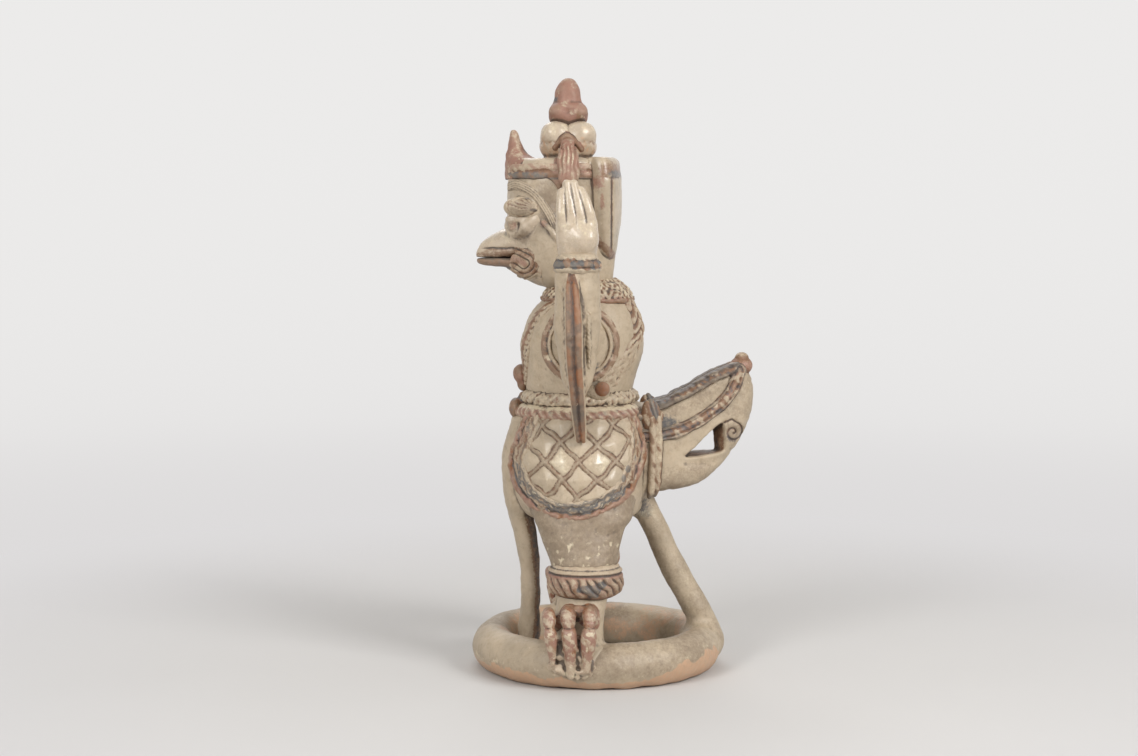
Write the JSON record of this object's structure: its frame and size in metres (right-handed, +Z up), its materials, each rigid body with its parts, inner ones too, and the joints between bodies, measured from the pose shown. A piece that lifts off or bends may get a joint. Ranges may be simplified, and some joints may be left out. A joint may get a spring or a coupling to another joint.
{
  "type": "ceramic garuda sculpture",
  "caption": "Hand-built ceramic bird-man standing on a coil ring, with raised winged arms, hooked beak, tall headdress, lattice hip panels and a pierced tail plume.",
  "frame": {"origin": "middle of the whole object's plan box, on the surface that the base ring stands on", "axes": "+Z up, -Y the way the figure faces, +X its left side"},
  "size_m": [0.1818, 0.191, 0.4],
  "materials": {
    "pale_slip": "worn buff slip, satin",
    "ochre_glaze": "pale yellow slip, glossy where thick",
    "umber_slip": "brown slip, matt",
    "red_slip": "earth red slip, matt",
    "ash_slip": "blue-grey ash slip over buff, matt"
  },
  "bodies": {
    "root": {"base_ring": "pale_slip", "hips": "pale_slip", "left_hip_panel": "pale_slip", "right_hip_panel": "pale_slip", "torso": "pale_slip", "head": "pale_slip", "hair_block": "pale_slip", "left_eye": "pale_slip", "right_eye": "pale_slip", "left_thigh": "pale_slip", "right_thigh": "pale_slip", "left_shin": "pale_slip", "right_shin": "pale_slip", "tail_plume": "pale_slip", "strut": "pale_slip", "front_sash": "pale_slip", "left_arm": "pale_slip", "right_arm": "pale_slip", "topknot": "ochre_glaze", "upper_beak": "ochre_glaze", "left_hand": "ochre_glaze", "right_hand": "ochre_glaze", "left_hip_border": "umber_slip", "right_hip_border": "umber_slip", "collar": "umber_slip", "left_shoulder_band": "umber_slip", "right_shoulder_band": "umber_slip", "chest_strap": "umber_slip", "back_strap": "umber_slip", "diadem": "umber_slip", "left_mouth_scroll": "umber_slip", "right_mouth_scroll": "umber_slip", "lower_beak": "umber_slip", "left_brow": "umber_slip", "right_brow": "umber_slip", "left_tail_band": "umber_slip", "right_tail_band": "umber_slip", "tail_knob": "umber_slip", "left_wing": "umber_slip", "right_wing": "umber_slip", "buckle": "umber_slip", "chest_pendant": "umber_slip", "left_rear_knot": "umber_slip", "right_rear_knot": "umber_slip", "left_rear_ribbon": "umber_slip", "right_rear_ribbon": "umber_slip", "crest": "red_slip", "finial": "red_slip", "left_ear_leaf": "red_slip", "right_ear_leaf": "red_slip", "left_garter": "red_slip", "right_garter": "red_slip", "left_foot": "red_slip", "right_foot": "red_slip", "upper_belt": "ash_slip", "lower_belt": "ash_slip", "left_side_boss": "ash_slip", "right_side_boss": "ash_slip", "left_bracelet": "ash_slip", "right_bracelet": "ash_slip"}
  },
  "joints": []
}
